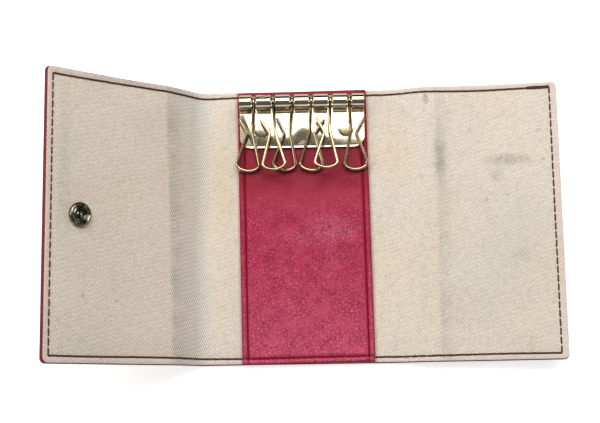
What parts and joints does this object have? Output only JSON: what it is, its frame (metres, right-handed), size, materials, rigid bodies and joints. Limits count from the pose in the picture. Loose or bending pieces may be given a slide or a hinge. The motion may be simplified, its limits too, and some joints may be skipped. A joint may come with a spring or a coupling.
{
  "type": "key case",
  "caption": "Folding leather key case, opened flat: twill lined flaps, a leather strip with a hook plate and swinging wire key hooks, and a press stud that shuts the flaps.",
  "frame": {"origin": "middle of the leather strip, on the outer (back) face of the centre panel, which lies on the table", "axes": "+X across the open case towards the right flap, +Y towards the hook plate, +Z out of the inside"},
  "size_m": [0.1965, 0.11, 0.0479],
  "materials": {
    "cover_leather": "grained crimson leather",
    "strip_leather": "pebbled crimson leather",
    "lining_twill": "cream cotton twill",
    "stiffener_board": "pressed fibre board",
    "plate_metal": "polished pale nickel",
    "hook_wire": "polished pale gold plating",
    "snap_metal": "antique dark metal"
  },
  "bodies": {
    "centre": {"cover_centre": "cover_leather", "board_centre": "stiffener_board", "lining_centre": "lining_twill", "hook_strip": "strip_leather", "hook_plate": "plate_metal", "hook_rod": "plate_metal", "plate_rivets": "plate_metal", "rivet_washers": "plate_metal"},
    "left_spine": {"cover_left_spine": "cover_leather", "board_left_spine": "stiffener_board", "lining_left_spine": "lining_twill"},
    "left_flap": {"cover_left_flap": "cover_leather", "board_left_flap": "stiffener_board", "lining_left_flap": "lining_twill", "snap_cap_left": "snap_metal", "snap_socket_left": "snap_metal", "snap_spring_left": "snap_metal"},
    "right_spine": {"cover_right_spine": "cover_leather", "board_right_spine": "stiffener_board", "lining_right_spine": "lining_twill"},
    "right_flap": {"cover_right_flap": "cover_leather", "board_right_flap": "stiffener_board", "lining_right_flap": "lining_twill", "snap_stud_right": "snap_metal", "snap_eyelet_right": "snap_metal"},
    "hook_1": {"hook_1": "hook_wire"},
    "hook_2": {"hook_2": "hook_wire"},
    "hook_3": {"hook_3": "hook_wire"},
    "hook_4": {"hook_4": "hook_wire"},
    "hook_5": {"hook_5": "hook_wire"},
    "hook_6": {"hook_6": "hook_wire"}
  },
  "joints": [
    {"name": "left_spine_fold", "type": "hinge", "parent": "centre", "child": "left_spine", "pos_m": [-0.0404, 0, 0.002], "axis": [0, -1, 0], "range_deg": [-49.4, 38.6]},
    {"name": "left_flap_fold", "type": "hinge", "parent": "left_spine", "child": "left_flap", "pos_m": [-0.05559, 0, 0.01502], "axis": [0, -1, 0], "range_deg": [-90, 0]},
    {"name": "right_spine_fold", "type": "hinge", "parent": "centre", "child": "right_spine", "pos_m": [0.0349, 0, 0.002], "axis": [0, 1, 0], "range_deg": [-83.1, 4.6]},
    {"name": "right_flap_fold", "type": "hinge", "parent": "right_spine", "child": "right_flap", "pos_m": [0.05029, 0, 0.00386], "axis": [0, 1, 0], "range_deg": [-90, 0]},
    {"name": "hook_1_swing", "type": "hinge", "parent": "centre", "child": "hook_1", "pos_m": [0, 0.0494, 0.0063], "axis": [-1, 0, 0], "range_deg": [0, 180]},
    {"name": "hook_3_swing", "type": "hinge", "parent": "centre", "child": "hook_3", "pos_m": [0, 0.0494, 0.0063], "axis": [-1, 0, 0], "range_deg": [0, 100]},
    {"name": "hook_2_swing", "type": "hinge", "parent": "hook_3", "child": "hook_2", "pos_m": [0, 0.0494, 0.0063], "axis": [-1, 0, 0], "range_deg": [0, 75]},
    {"name": "hook_4_swing", "type": "hinge", "parent": "centre", "child": "hook_4", "pos_m": [0, 0.0494, 0.0063], "axis": [-1, 0, 0], "range_deg": [0, 100]},
    {"name": "hook_5_swing", "type": "hinge", "parent": "hook_4", "child": "hook_5", "pos_m": [0, 0.0494, 0.0063], "axis": [-1, 0, 0], "range_deg": [0, 70]},
    {"name": "hook_6_swing", "type": "hinge", "parent": "centre", "child": "hook_6", "pos_m": [0, 0.0494, 0.0063], "axis": [-1, 0, 0], "range_deg": [0, 180]}
  ]
}
